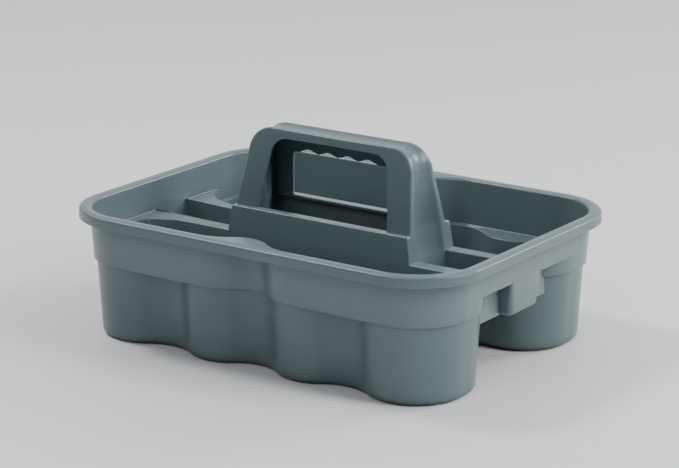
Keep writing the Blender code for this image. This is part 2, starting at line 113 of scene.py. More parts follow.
CHANNEL_RIB_X = (110.5 * MM, 133.0 * MM)

# Tower and handle -----------------------------------------------------------------------------------
FOOT_HALF_X = 87.2 * MM
SHOULDER_HALF_X = 81.0 * MM
CORNER_Z = 147.4 * MM
TOP_CORNER_R = TOP_Z - CORNER_Z
TOWER_LEAN = 0.155
FOOT_HALF_Y = 26.2 * MM
Y_SLOPE = 0.2134
FLUTE_DEPTH = 9.0 * MM
FLUTE_HALF = 20.4 * MM
CORNER_SOFT = 1.3 * MM              # round vertical corners of the tower
LEDGE_EDGE = 1.1 * MM               # radius of the ledge's outer edge
CROWN_DIP = 1.7 * MM                # what is left of the flute at the top
CROWN_STRIP = 3.2 * MM              # flat strip beside the flute at the top
HANDLE_EDGE = 2.2 * MM              # radius of the handle's outer edges
WINDOW_FOOT_X = 64.3 * MM
WINDOW_TOP_X = 58.3 * MM
WINDOW_TOP_Z = 161.2 * MM
WINDOW_CORNER_R = 15.5 * MM
GRIP_EDGE_Z = 143.1 * MM
GRIP_CORNER_R = 3.0 * MM
FINGER_PITCH = 19.9 * MM
FINGER_CUSP = 0.8 * MM
FINGER_DEPTH = 2.7 * MM
FINGER_FADE = 2.0 * MM
FINGER_CENTRE_X = -11.9 * MM
FINGERS = 4

# Colours --------------------------------------------------------------------------------------------
PLASTIC_BASE = (0.086, 0.127, 0.134)
PLASTIC_PALE = (0.135, 0.186, 0.194)
PLASTIC_DEEP = (0.070, 0.106, 0.113)
DISC_DEEP = (0.40, 0.47, 0.48)
DISC_PALE = (0.46, 0.53, 0.54)
FLOOR_COLOUR = (0.70, 0.705, 0.71, 1.0)

# Meshes: steps along each stretch of an outline, and small allowances -------------------------------
CORNER_STEPS = 26
VALLEY_STEPS = 64
NOTCH_STEPS = 36
INNER_STEPS = 26
STRAIGHT_STEPS = 24
SHARP_ANGLE = 38.0                  # edges that turn more than this stay sharp
SIDE_SHARE = 0.48                   # the most of a side that the rounding at one end of it takes
HAIR = 0.02 * MM                    # keeps two rows of a level step at different heights
BITE = 0.8 * MM                     # how far thin plates reach into the walls that they join


# Mesh helpers ---------------------------------------------------------------------------------------
def smoothstep(t):
    """Smooth rise from 0 to 1."""
    t = min(1.0, max(0.0, t))
    return t * t * (3.0 - 2.0 * t)


def corner_arc(before, corner, after, radius, steps):
    """Points of an arc that rounds a corner, tangent to both of its sides."""
    back = before - corner
    ahead = after - corner
    u = back.normalized()
    v = ahead.normalized()
    half = 0.5 * u.angle(v)
    cut = min(radius / math.tan(half), SIDE_SHARE * back.length, SIDE_SHARE * ahead.length)
    r = cut * math.tan(half)
    centre = corner + (u + v).normalized() * (r / math.sin(half))
    start = corner + u * cut - centre
    end = corner + v * cut - centre
    sweep = math.pi - 2.0 * half
    points = []
    for i in range(steps + 1):
        t = i / steps
        reach = start * math.sin((1.0 - t) * sweep) + end * math.sin(t * sweep)
        points.append(centre + reach / math.sin(sweep))
    return points


def rounded(profile, steps=5):
    """Turn (across, z, radius) corners into a smooth profile of (across, z) points."""
    corners = [Vector(item[:2]) for item in profile]
    points = []
    for i, corner in enumerate(corners):
        radius = profile[i][2]
        if i in (0, len(corners) - 1) or radius <= 0.0:
            points.append(corner)
        else:
            points += corner_arc(corners[i - 1], corner, corners[i + 1], radius, steps)
    return points


def rounded_loop(corners, steps=5):
    """The same for a closed loop of (point, radius) in space."""
    points = []
    for i, (corner, radius) in enumerate(corners):
        if radius <= 0.0:
            points.append(corner)
        else:
            after = corners[(i + 1) % len(corners)][0]
            points += corner_arc(corners[i - 1][0], corner, after, radius, steps)
    return points


def at_height(outline, z):
    """Plan points lifted to height z."""
    return [Vector((x, y, z)) for x, y in outline]


def bridge(mesh_data, first, second, closed=True):
    """Faces between two rows of vertices."""
    count = len(first)
    for i in range(count if closed else count - 1):
        j = (i + 1) % count
        mesh_data.faces.new((first[i], first[j], second[j], second[i]))


def finish_mesh(name, mesh_data, material):
    """Turn the mesh being built into an object of the scene, shaded smooth between its sharp edges."""
    bmesh.ops.recalc_face_normals(mesh_data, faces=mesh_data.faces)
    mesh = bpy.data.meshes.new(name)
    mesh_data.to_mesh(mesh)
    mesh_data.free()
    mesh.materials.append(material)
    mesh.shade_smooth()
    mesh.set_sharp_from_angle(angle=math.radians(SHARP_ANGLE))
    item = bpy.data.objects.new(name, mesh)
    bpy.context.scene.collection.objects.link(item)
    return item


def add_rows(mesh_data, loops):
    """Closed rows of points, each joined to the next. Returns their vertices."""
    rows = [[mesh_data.verts.new(point) for point in loop] for loop in loops]
    for first, second in zip(rows, rows[1:]):
        bridge(mesh_data, first, second)
    return rows


def loft(name, loops, material, capped=True):
    """Rows of points joined in turn: capped at both ends, or the last row joined to the first."""
    mesh_data = bmesh.new()
    rows = add_rows(mesh_data, loops)
    if capped:
        mesh_data.faces.new(rows[0])
        mesh_data.faces.new(rows[-1])
    else:
        bridge(mesh_data, rows[-1], rows[0])
    return finish_mesh(name, mesh_data, material)


def mirrored(loops, sx=1.0, sy=1.0):
    """Rows scaled along X and Y, by -1 for the other end or side."""
    return [[Vector((sx * p.x, sy * p.y, p.z)) for p in loop] for loop in loops]


def body_piece(item, *nodes):
    """A piece of the moulding that stands for these nodes of the frame."""
    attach(item, "root")
    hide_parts(*nodes)
    return item


# Outlines -------------------------------------------------------------------------------------------
def trough_offset(z):
    """How far the drafted walls below the step stand out at height z."""
    return TROUGH_DRAFT * z


def band_offset(z):
    """The same for the wider band above the step."""
    return trough_offset(STEP_Z) + STEP_OUT + BAND_DRAFT * (z - STEP_Z)


def fillet_centre(ax, ay, ar, bx, by, br, r):
    """Centre of the circle of radius r that touches circles a and b on their -Y side."""
    span = math.hypot(bx - ax, by - ay)
    reach_a = ar + r
    reach_b = br + r
    along = (reach_a ** 2 - reach_b ** 2 + span ** 2) / (2.0 * span)
    across = math.sqrt(reach_a ** 2 - along ** 2)
    ux = (bx - ax) / span
    uy = (by - ay) / span
    return ax + ux * along + uy * across, ay + uy * along - ux * across


def scallop_y(x, offset):
    """Outer side of the front trough at distance x from the middle, up to the corner lobe's centre."""
    lobe_r = LOBE_R + offset
    mid_r = MID_LOBE_R + offset
    if x >= MID_LOBE_X:
        valley_r = SIDE_VALLEY_R - offset
        vx, vy = fillet_centre(MID_LOBE_X, -MID_LOBE_Y, mid_r, LOBE_X, -LOBE_Y, lobe_r, valley_r)
        mid_touch = MID_LOBE_X + (vx - MID_LOBE_X) * mid_r / (mid_r + valley_r)
        lobe_touch = LOBE_X + (vx - LOBE_X) * lobe_r / (lobe_r + valley_r)
        if x > lobe_touch:
            return -LOBE_Y - math.sqrt(lobe_r ** 2 - (x - LOBE_X) ** 2)
        if x > mid_touch:
            return vy + math.sqrt(valley_r ** 2 - (x - vx) ** 2)
        return -MID_LOBE_Y - math.sqrt(mid_r ** 2 - (x - MID_LOBE_X) ** 2)
    notch_r = NOTCH_R - offset
    drop = math.sqrt((mid_r + notch_r) ** 2 - MID_LOBE_X ** 2)
    notch_touch = MID_LOBE_X * notch_r / (mid_r + notch_r)
    if x < notch_touch:
        return -MID_LOBE_Y - drop + math.sqrt(notch_r ** 2 - x ** 2)
    return -MID_LOBE_Y - math.sqrt(mid_r ** 2 - (x - MID_LOBE_X) ** 2)


def long_side(offset, straight, notched):
    """Points along a long side: scalloped or straight, with or without the notch in its middle."""
    peak = -LOBE_Y - LOBE_R - offset
    half = []
    for i in range(VALLEY_STEPS):
        x = LOBE_X + (MID_LOBE_X - LOBE_X) * i / VALLEY_STEPS
        half.append((x, peak if straight else scallop_y(x, offset)))
    for i in range(NOTCH_STEPS + 1):
        x = MID_LOBE_X * (1.0 - i / NOTCH_STEPS)
        half.append((x, scallop_y(x, offset) if notched else peak))
    return half + [(-x, y) for x, y in reversed(half[:-1])]


def arc(cx, cy, r, start, end, steps):
    """Points on a circle between two angles in degrees."""
    points = []
    for i in range(steps + 1):
        angle = math.radians(start + (end - start) * i / steps)
        points.append((cx + r * math.cos(angle), cy + r * math.sin(angle)))
    return points


def circle(cx, cy, r, steps):
    """Points all the way round a circle."""
    return arc(cx, cy, r, 0.0, 360.0, steps)[:-1]


def step_fade(share):
    """How far the step reaches along the inner corner of a trough: none at the middle, all at the end."""
    return smoothstep((share - STEP_FADE_START) / STEP_FADE_LENGTH)


def trough_outline(z, inward=0.0, above_step=False):
    """Outline of the front trough at height z, moved inward by a wall thickness."""
    offset = trough_offset(z) - inward
    extra = band_offset(z) - trough_offset(z) if above_step else 0.0
    centre_y = -INNER_Y - INNER_CORNER_R
    right = arc(LOBE_X, -LOBE_Y, LOBE_R + offset + extra, 0.0, -90.0, CORNER_STEPS)
    side = long_side(offset + extra, above_step, True)
    inner = []
    for i in range(INNER_STEPS + 1):
        share = i / INNER_STEPS
        angle = math.radians(90.0 * (1.0 - share))
        radius = INNER_CORNER_R + offset + extra * step_fade(share)
        inner.append((INNER_CORNER_X + radius * math.cos(angle), centre_y + radius * math.sin(angle)))
    left_inner = [(-x, y) for x, y in reversed(inner)]
    left = [(-x, y) for x, y in reversed(right)]
    straight = []
    for i in range(1, STRAIGHT_STEPS):
        x = INNER_CORNER_X * (-1.0 + 2.0 * i / STRAIGHT_STEPS)
        straight.append((x, inner[0][1]))
    return right + side[1:-1] + left + left_inner + straight + inner


def body_outline(offset, notched):
    """Outline round the whole caddy: straight sides, round corners, a notch in each long side."""
    right = arc(LOBE_X, -LOBE_Y, LOBE_R + offset, 0.0, -90.0, CORNER_STEPS)
    side = long_side(offset, True, notched)
    left = [(-x, y) for x, y in reversed(right)]
    front = right + side[1:-1] + left
    return front + [(-x, -y) for x, y in front]


# Troughs --------------------------------------------------------------------------------------------
def shelf_drop(span):
    """How far the shelf has sloped down where it is span wide."""
    return min(SHELF_DROP, SHELF_SLOPE * span)


def step_line(inward, reach, z, beyond, sloped=False):
    """Row on the step between a trough's wall and the wider band above it.

    The row stands reach away from the trough's wall, or with beyond set, from the band. With sloped
    set, it is as low as the shelf's slope leaves it.
    """
    line = []
    for near, far in zip(trough_outline(z, inward), trough_outline(z, inward, True)):
        span = math.dist(near, far)
        share = min(SIDE_SHARE, reach / max(span, 0.5 * HAIR))
        if beyond:
            share = 1.0 - share
        x = near[0] + (far[0] - near[0]) * share
        y = near[1] + (far[1] - near[1]) * share
        drop = shelf_drop(span) if sloped else 0.0
        line.append(Vector((x, y, z - drop)))
    return line


def outer_step_rows(steps=4):
    """Round edge at the top of the scallops, then a hollow fillet under the band."""
    radius = STEP_EDGE
    rows = []
    for k in range(steps + 1):
        angle = 0.5 * math.pi * k / steps
        z = STEP_Z - radius + radius * math.sin(angle)
        rows.append(step_line(0.0, radius * (1.0 - math.cos(angle)), z, False))
    for k in range(steps + 1):
        angle = 0.5 * math.pi * k / steps
        z = STEP_Z + HAIR + radius * (1.0 - math.cos(angle))
        rows.append(step_line(0.0, radius * (1.0 - math.sin(angle)), z, True))
    return rows


def inner_step_rows(steps=4):
    """Fillet from the band's inside onto the shelf, then the shelf's round edge over the scallops."""
    radius = SHELF_EDGE
    rows = []
    for k in range(steps + 1):
        angle = 0.5 * math.pi * k / steps
        z = SHELF_Z + radius * (1.0 - math.sin(angle))
        rows.append(step_line(WALL, radius * (1.0 - math.cos(angle)), z, True))
    for k in range(steps + 1):
        angle = 0.5 * math.pi * k / steps
        z = SHELF_Z - HAIR - radius * (1.0 - math.cos(angle))
        rows.append(step_line(WALL, radius * (1.0 - math.sin(angle)), z, False, sloped=True))
    return rows


def trough_loops():
    """Rows of a trough: from its underside up the outside, over the top edge and down the inside."""
    foot = rounded((
        (FOOT_WIDTH + FOOT_SLOPE + 3.0 * MM, FOOT_RECESS, 0.0),
        (FOOT_WIDTH + FOOT_SLOPE, FOOT_RECESS, 1.0 * MM),
        (FOOT_WIDTH, 0.0, 0.8 * MM),
        (0.0, 0.0, FOOT_FILLET),
        (0.0, WALL_START_Z, 0.0),
    ), 7)
    floor = rounded((
        (WALL, WALL_START_Z, 0.0),
        (WALL, FLOOR_Z, FLOOR_FILLET),
        (WALL + FLOOR_FILLET + 4.0 * MM, FLOOR_Z, 0.0),
    ), 7)
    rows = [at_height(trough_outline(z, inward), z) for inward, z in foot]
    rows += outer_step_rows()
    rows.append(at_height(trough_outline(JOIN_Z, 0.0, True), JOIN_Z))
    rows.append(at_height(trough_outline(JOIN_Z, WALL, True), JOIN_Z))
    rows += inner_step_rows()
    rows += [at_height(trough_outline(z, inward), z) for inward, z in floor]
    return rows


def make_troughs(plastic):
    """The two troughs, each one shell with its floor, foot ring, step and shelf."""
    for side, sy in (("front", 1.0), ("rear", -1.0)):
        shell = loft(f"{side}_trough_shell", mirrored(trough_loops(), sy=sy), plastic)
        body_piece(shell, f"{side}_trough", f"{side}_trough_floor")


# Upper wall and rim ---------------------------------------------------------------------------------
def rim_loops():
    """Rows of the upper wall and rim: up the outside, round the channel and the rim, down the inside."""
    wall_top = band_offset(CHANNEL_TOP_Z)
    channel_fillet = 1.0 * MM
    skirt_inside = RIM_OFFSET - SKIRT_THICK
    profile = rounded((
        (band_offset(JOIN_Z), JOIN_Z, 0.0),
        (wall_top, CHANNEL_TOP_Z, channel_fillet),
        (skirt_inside - 0.3 * MM, CHANNEL_TOP_Z, 0.8 * MM),
        (skirt_inside, LIP_Z, 0.6 * MM),
        (RIM_OFFSET, LIP_Z, 0.8 * MM),
        (RIM_OFFSET - 0.5 * MM, RIM_Z - 1.0 * MM, 1.8 * MM),
        (RIM_OFFSET - RIM_CROWN_IN, RIM_Z, 3.0 * MM),
        (band_offset(RIM_Z) - WALL, RIM_Z - 0.5 * MM, 2.6 * MM),
        (band_offset(JOIN_Z) - WALL, JOIN_Z, 0.0),
    ), 6)
    notched_up_to = wall_top + channel_fillet + 0.05 * MM
    loops = []
    for offset, z in profile:
        loops.append(at_height(body_outline(offset, offset < notched_up_to), z))
    return loops


def make_rim(plastic):
    """The wall above the decks and the rim round it, as one closed ring."""
    body_piece(loft("upper_wall_and_rim", rim_loops(), plastic, capped=False), "upper_wall", "rim")


def rib_plate(mesh_data, corners, thickness):
    """Thin plate with softened edges: corners lie in a vertical plane, thickness is a level vector."""
    middle = sum(corners, Vector((0.0, 0.0, 0.0))) / len(corners)
    soft = 0.3 * MM
    full = 0.35                     # share of the thickness, from the middle, that is full size
    rows = []
    for side, shrink in ((-0.5, soft), (-full, 0.0), (full, 0.0), (0.5, soft)):
        loop = []
        for corner in corners:
            inward = (middle - corner).normalized() * shrink
            loop.append(corner + inward + thickness * side)
        rows.append(loop)
    rows = add_rows(mesh_data, rows)
    mesh_data.faces.new(rows[0])
    mesh_data.faces.new(rows[-1])


def make_rim_ribs(plastic):
    """Thin cross ribs in the open channel under the rim."""
    mesh_data = bmesh.new()
    bite = 0.6 * MM
    recess = 0.8 * MM               # the ribs stop this far above the lip
    low = LIP_Z + recess
    high = CHANNEL_TOP_Z + bite
    near_low = band_offset(low) - bite
    near_high = band_offset(high) - bite
    far = RIM_OFFSET - SKIRT_THICK + bite
    edge_x = LOBE_X + LOBE_R
    edge_y = LOBE_Y + LOBE_R
    along_x = Vector((RIB_THICK, 0.0, 0.0))
    along_y = Vector((0.0, RIB_THICK, 0.0))
    for sign in (-1.0, 1.0):
        for x in RIM_RIB_X:
            for end in (-1.0, 1.0):
                y_low = edge_y + near_low
                y_high = edge_y + near_high
                if x < MID_LOBE_X:
                    y_low = -scallop_y(x, near_low)
                    y_high = -scallop_y(x, near_high)
                section = ((y_low, low), (edge_y + far, low), (edge_y + far, high), (y_high, high))
                rib_plate(mesh_data, [Vector((end * x, sign * y, z)) for y, z in section], along_x)
        for y in RIM_RIB_Y:
            section = (
                (edge_x + near_low, low),
                (edge_x + far, low),
                (edge_x + far, high),
                (edge_x + near_high, high),
            )
            rib_plate(mesh_data, [Vector((sign * x, y, z)) for x, z in section], along_y)
    ribs = finish_mesh("rim_channel_ribs", mesh_data, plastic)
    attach(ribs, "root")


# Decks ----------------------------------------------------------------------------------------------
def band_x(z):
    """Where the band's outside lies at the short ends."""
    return LOBE_X + LOBE_R + band_offset(z)


def pocket_half(z):
    """Half the width of a pocket's outside at height z."""
    share = (z - POCKET_BASE_Z) / (DECK_Z - POCKET_BASE_Z)
    return POCKET_BASE_HALF + (POCKET_TOP_HALF - POCKET_BASE_HALF) * share


def deck_loop(z, inner, edge, wall_rise):
    """One row of a deck, first along the pocket, then up the short end, then back along the trough.

    inner is how far the row reaches over the neighbours' walls, edge how far its long edges are
    drawn in by their rounding, and wall_rise how far its end climbs the short wall.
    """
    radius = INNER_CORNER_R + trough_offset(z) - inner
    extra = band_offset(z) - trough_offset(z)
    centre_y = -INNER_Y - INNER_CORNER_R
    end_x = band_x(z) - inner
    start_y = -pocket_half(z) + inner
    steps = 30
    give = 0.35                     # share of the room to the short wall that the roundings may take
    side = []
    wall = []
    for i in range(steps + 1):
        angle = DECK_TIP_ANGLE + (90.0 - DECK_TIP_ANGLE) * i / steps
        grown = radius + extra * step_fade(1.0 - angle / 90.0)
        x = INNER_CORNER_X + grown * math.cos(math.radians(angle))
        y = centre_y + grown * math.sin(math.radians(angle))
        room = max(0.0, end_x - x)
        shift = min(edge, give * room) / grown
        x += (x - INNER_CORNER_X) * shift
        y += (y - centre_y) * shift
        side.append(Vector((x, y, z)))
        share = min(1.0, give * room / MM)
        if y < start_y - 3.0 * MM:
            wall.append(Vector((end_x - edge * share, y, z + wall_rise * share)))
    corner = Vector((end_x - edge, start_y - edge, z + wall_rise))
    start = Vector((DECK_START_X, start_y - edge, z))
    end = Vector((DECK_START_X, side[-1].y, z))
    return [start, corner] + wall[::-1] + side + [end]


def deck_loops():
    """Rows of a deck, from its underside to its rounded top edges."""
    rows = [
        deck_loop(SOFFIT_Z, 0.0, 0.0, 0.0),
        deck_loop(JOIN_Z, 0.0, 0.0, 0.0),
        deck_loop(JOIN_Z + 0.5 * HAIR, WALL, 0.0, 0.0),
    ]
    steps = 5
    for k in range(steps + 1):
        angle = 0.5 * math.pi * k / steps
        z = DECK_Z - DECK_EDGE + DECK_EDGE * math.sin(angle)
        rise = DECK_Z + DECK_EDGE * (1.0 - math.sin(angle)) - z
        rows.append(deck_loop(z, WALL, DECK_EDGE * (1.0 - math.cos(angle)), rise))
    return rows


def make_decks(plastic):
    """The four decks beside the pockets."""
    for end, sx in (("left", -1.0), ("right", 1.0)):
        for side, sy in (("front", 1.0), ("rear", -1.0)):
            deck = loft(f"{side}_{end}_deck_top", mirrored(deck_loops(), sx, sy), plastic)
            body_piece(deck, f"{side}_{end}_deck")


# Pockets --------------------------------------------------------------------------------------------
def strip_x(z):
    """Where the flat strips beside the flute lie at height z."""
    if z <= LEDGE_Z:
        return FOOT_HALF_X + TOWER_LEAN * (LEDGE_Z - z)
    return FOOT_HALF_X + (SHOULDER_HALF_X - FOOT_HALF_X) * (z - LEDGE_Z) / (CORNER_Z - LEDGE_Z)


def flute_dip(y, half, depth):
    """Depth of the hollow flute at y: an arc with a softened edge."""
    share = min(1.0, abs(y) / half)
    onset = 0.25
    steepness = 4.0
    edge = smoothstep(onset + steepness * (1.0 - share))
    return depth * (1.0 - share ** 2) * edge


def flute_x(y, z):
    """Where the tower's fluted end lies at y and height z."""
    return strip_x(z) - flute_dip(y, FLUTE_HALF, FLUTE_DEPTH)


def pocket_loop(z, inward):
    """Row of a pocket cup: the flute's hollow at the inner end, round corners at the outer end."""
    half = pocket_half(z) - inward
    share = (z - POCKET_BASE_Z) / (DECK_Z - POCKET_BASE_Z)
    end = POCKET_END_X + (band_x(DECK_Z) - POCKET_END_X) * share - inward
    tightening = 0.6                # share of the corner's radius that is gone at the deck
    least = 1.2 * MM
    radius = max(least, POCKET_CORNER_R * (1.0 - tightening * share) - inward)
    corner = arc(end - radius, -half + radius, radius, -90.0, 0.0, 8)
    far = [(x, -y) for x, y in reversed(corner)]
    steps = 28
    flute = []
    for i in range(steps + 1):
        y = half * (1.0 - 2.0 * i / steps)
        flute.append((flute_x(y, z) - WALL + inward, y))
    return at_height(flute + corner + far, z)


def pocket_loops():
    """Rows of a pocket cup: from its underside up the outside, then down the inside."""
    outer = rounded((
        (2.0 * POCKET_FILLET, POCKET_BASE_Z, 0.0),
        (0.0, POCKET_BASE_Z, POCKET_FILLET),
        (0.0, JOIN_Z, 0.0),
    ), 6)
    floor_z = POCKET_BASE_Z + WALL
    inner = rounded((
        (WALL, JOIN_Z, 0.0),
        (WALL, floor_z, 2.5 * MM),
        (WALL + 6.0 * MM, floor_z, 0.0),
    ), 6)
    return [pocket_loop(z, inward) for inward, z in outer + inner]


def make_pockets(plastic):
    """The two end pockets, each one cup."""
    for end, sx in (("left", -1.0), ("right", 1.0)):
        cup = loft(f"{end}_pocket_cup", mirrored(pocket_loops(), sx), plastic)
        body_piece(cup, f"{end}_pocket")


# Webs and ribs under the decks ----------------------------------------------------------------------
def inner_side_y(x, z):
    """Centre-facing side of the front trough at x, as a distance from the middle plane."""
    radius = INNER_CORNER_R + trough_offset(z)
    centre = INNER_Y + INNER_CORNER_R
    if x <= INNER_CORNER_X:
        return centre - radius
    return centre - math.sqrt(radius ** 2 - (x - INNER_CORNER_X) ** 2)


def make_channel_plates(plastic):
    """The set-back web that closes each channel at the short end, and two thin ribs behind it."""
    mesh_data = bmesh.new()
    high = SOFFIT_Z + 1.0 * MM
    web_bite = 1.9 * MM             # more, because the trough curves away across the web's thickness
    for sx in (-1.0, 1.0):
        for sy in (-1.0, 1.0):
            for x, thick, low, far_bite in (
                (WEB_X, WALL, POCKET_BASE_Z, web_bite),
                (CHANNEL_RIB_X[0], RIB_THICK, CHANNEL_RIB_Z, BITE),
                (CHANNEL_RIB_X[1], RIB_THICK, CHANNEL_RIB_Z, BITE),
            ):
                corners = [Vector((sx * x, sy * y, z)) for y, z in (
                    (pocket_half(low) - BITE, low),
                    (inner_side_y(x, low) + far_bite, low),
                    (inner_side_y(x, high) + far_bite, high),
                    (pocket_half(high) - BITE, high),
                )]
                rib_plate(mesh_data, corners, Vector((thick, 0.0, 0.0)))
    plates = finish_mesh("channel_webs_and_ribs", mesh_data, plastic)
    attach(plates, "root")


# Tower ----------------------------------------------------------------------------------------------
def tower_half_y(z):
    """Half the tower's width: its side walls run on from the troughs' inner sides."""
    return INNER_Y - trough_offset(z) + WALL


def end_wall_line(z, soft):
    """Plan line of the tower's end at height z, turning round both corners.

    soft draws the line in where the ledge is, for the rounding of its edge.
    """
    flat_half = tower_half_y(z) - CORNER_SOFT
    steps = 60
    blend = 0.8 * MM                # the ledge's rounding starts over this distance beside the handle
    points = []
    for i in range(steps + 1):
        y = flat_half * (2.0 * i / steps - 1.0)
        over = smoothstep((abs(y) - FOOT_HALF_Y) / blend)
        points.append(Vector((flute_x(y, z) - soft * over, y, z)))
    reach = CORNER_SOFT - soft
    turn_steps = 5
    after = []
    for i in range(1, turn_steps + 1):
        angle = 0.5 * math.pi * i / turn_steps
        x = strip_x(z) - CORNER_SOFT + reach * math.cos(angle)
        after.append(Vector((x, flat_half + reach * math.sin(angle), z)))
    before = [Vector((p.x, -p.y, p.z)) for p in reversed(after)]
    return before + points + after


def end_wall_back(line):
    """The same line on the inner face, tucked into the side walls and just under the ledge."""
    z = line[0].z
    tuck = 0.05 * MM
    reach = tower_half_y(z) - CORNER_SOFT
    back = []
    for p in line:
        y = max(-reach, min(reach, p.y))
        back.append(Vector((p.x - WALL, y, z - tuck)))
    return back


def make_tower_ends(plastic):
    """Fluted end walls of the tower, from the pocket up to the ledge."""
    edge_z = LEDGE_Z - LEDGE_EDGE
    steps = 4
    rows = []
    for i in range(steps + 1):
        rows.append(end_wall_line(JOIN_Z + (edge_z - JOIN_Z) * i / steps, 0.0))
    for k in range(1, steps + 1):
        angle = 0.5 * math.pi * k / steps
        z = edge_z + LEDGE_EDGE * math.sin(angle)
        rows.append(end_wall_line(z, LEDGE_EDGE * (1.0 - math.cos(angle))))
    loops = rows + [end_wall_back(row) for row in reversed(rows)]
    for end, sx in (("left", -1.0), ("right", 1.0)):
        mesh_data = bmesh.new()
        grid = [[mesh_data.verts.new(p) for p in loop] for loop in mirrored(loops, sx)]
        for first, second in zip(grid, grid[1:]):
            bridge(mesh_data, first, second, closed=False)
        bridge(mesh_data, grid[-1], grid[0], closed=False)
        for column in (0, -1):
            mesh_data.faces.new([row[column] for row in grid])
        wall = finish_mesh(f"{end}_tower_end", mesh_data, plastic)
        body_piece(wall, f"{end}_tower_end_wall")


def make_tower_sides(plastic):
    """Side walls of the tower with the narrow ledge that the handle rises from."""
    ledge_in = FOOT_HALF_Y - WALL
    inset = CORNER_SOFT - 0.12 * MM
    top = tower_half_y(LEDGE_Z)
    low = tower_half_y(JOIN_Z)
    section = rounded_loop([
        (Vector((0.0, low, JOIN_Z)), 0.0),
        (Vector((0.0, top, LEDGE_Z)), LEDGE_EDGE),
        (Vector((0.0, ledge_in, LEDGE_Z)), 0.6 * MM),
        (Vector((0.0, ledge_in, LEDGE_Z - WALL)), 0.6 * MM),
        (Vector((0.0, top - WALL, LEDGE_Z - WALL)), 1.0 * MM),
        (Vector((0.0, low - WALL, JOIN_Z)), 0.0),
    ])
    for side, sy in (("front", -1.0), ("rear", 1.0)):
        loops = []
        for end in (-1.0, 1.0):
            loops.append([Vector((end * (strip_x(p.z) - inset), sy * p.y, p.z)) for p in section])
        body_piece(loft(f"{side}_tower_side", loops, plastic), f"{side}_spine")


# Handle ---------------------------------------------------------------------------------------------
def handle_y(z):
    """Half the handle's width at height z."""
    return FOOT_HALF_Y - Y_SLOPE * (z - LEDGE_Z)


def finger_rise(x):
    """How far the grip's rear edge rises at x over the finger hollows and the cusps between them."""
    along = x - FINGER_CENTRE_X + 0.5 * FINGERS * FINGER_PITCH
    ends = min(along, FINGERS * FINGER_PITCH - along)
    wave = FINGER_CUSP + FINGER_DEPTH * 0.5 * (1.0 - math.cos(2.0 * math.pi * along / FINGER_PITCH))
    return wave * smoothstep(ends / FINGER_FADE)


def leg_stations():
    """Outer, front inner and rear inner edge points in X and Z, from the +X foot to the top corner."""
    stations = []
    leg_steps = 16
    for i in range(leg_steps):
        share = i / leg_steps
        z_out = LEDGE_Z + (CORNER_Z - LEDGE_Z) * share
        z_front = LEDGE_Z + (WINDOW_TOP_Z - WINDOW_CORNER_R - LEDGE_Z) * share
        z_rear = LEDGE_Z + (GRIP_EDGE_Z - GRIP_CORNER_R - LEDGE_Z) * share
        x_in = WINDOW_FOOT_X + (WINDOW_TOP_X - WINDOW_FOOT_X) * share
        stations.append(((strip_x(z_out), z_out), (x_in, z_front), (x_in, z_rear)))
    corner_steps = 18
    for i in range(corner_steps + 1):
        angle = math.radians(90.0 * i / corner_steps)
        turn = []
        for edge_x, edge_z, radius in (
            (SHOULDER_HALF_X, TOP_Z, TOP_CORNER_R),
            (WINDOW_TOP_X, WINDOW_TOP_Z, WINDOW_CORNER_R),
            (WINDOW_TOP_X, GRIP_EDGE_Z, GRIP_CORNER_R),
        ):
            x = edge_x - radius + radius * math.cos(angle)
            z = edge_z - radius + radius * math.sin(angle)
            turn.append((x, z))
        stations.append(tuple(turn))
    return stations


def grip_stations():
    """The same edge points along the grip, from the +X corner to the other."""
    stations = []
    steps = 180
    out_half = SHOULDER_HALF_X - TOP_CORNER_R
    front_half = WINDOW_TOP_X - WINDOW_CORNER_R
    rear_half = WINDOW_TOP_X - GRIP_CORNER_R
    for i in range(1, steps):
        share = 1.0 - 2.0 * i / steps
        rear_x = rear_half * share
        rear = (rear_x, GRIP_EDGE_Z + finger_rise(rear_x))
        stations.append(((out_half * share, TOP_Z), (front_half * share, WINDOW_TOP_Z), rear))
    return stations


def inward_at(xo, zo):
    """Direction from the handle's outer face into its hollow."""
    if zo <= CORNER_Z:
        return Vector((-math.copysign(1.0, xo), 0.0, 0.0))
    centre_x = math.copysign(SHOULDER_HALF_X - TOP_CORNER_R, xo)
    if abs(xo) <= abs(centre_x):
        return Vector((0.0, 0.0, -1.0))
    return Vector((centre_x - xo, 0.0, CORNER_Z - zo)).normalized()


def handle_section(station):
    """Section of the hollow wall: front face, fluted outer face, rear face, then back along the inside."""
    (xo, zo), (xf, zf), (xr, zr) = station
    inward = inward_at(xo, zo)
    half = handle_y(zo)
    fade = (TOP_Z - zo) / (TOP_Z - LEDGE_Z)
    depth = CROWN_DIP + (FLUTE_DEPTH - CROWN_DIP) * fade
    strip = CROWN_STRIP + (FOOT_HALF_Y - FLUTE_HALF - CROWN_STRIP) * fade
    flute_half = half - strip
    across = 24
    skin = []
    for i in range(across + 1):
        y = flute_half * (2.0 * i / across - 1.0)
        skin.append(Vector((xo, y, zo)) + inward * flute_dip(y, flute_half, depth))
    side = Vector((0.0, WALL, 0.0))
    deep = inward * WALL
    front_in = Vector((xf, -handle_y(zf), zf))
    rear_in = Vector((xr, handle_y(zr), zr))
    front_out = Vector((xo, -half, zo))
    rear_out = Vector((xo, half, zo))
    lip = 0.6 * MM
    loop = [(front_in, lip), (front_out, HANDLE_EDGE)]
    loop += [(p, 0.0) for p in skin]
    loop += [(rear_out, HANDLE_EDGE), (rear_in, lip), (rear_in - side, lip)]
    loop += [(rear_out - side + deep, lip)]
    loop += [(p + deep, 0.0) for p in reversed(skin)]
    loop += [(front_out + side + deep, lip), (front_in + side, lip)]
    return rounded_loop(loop)


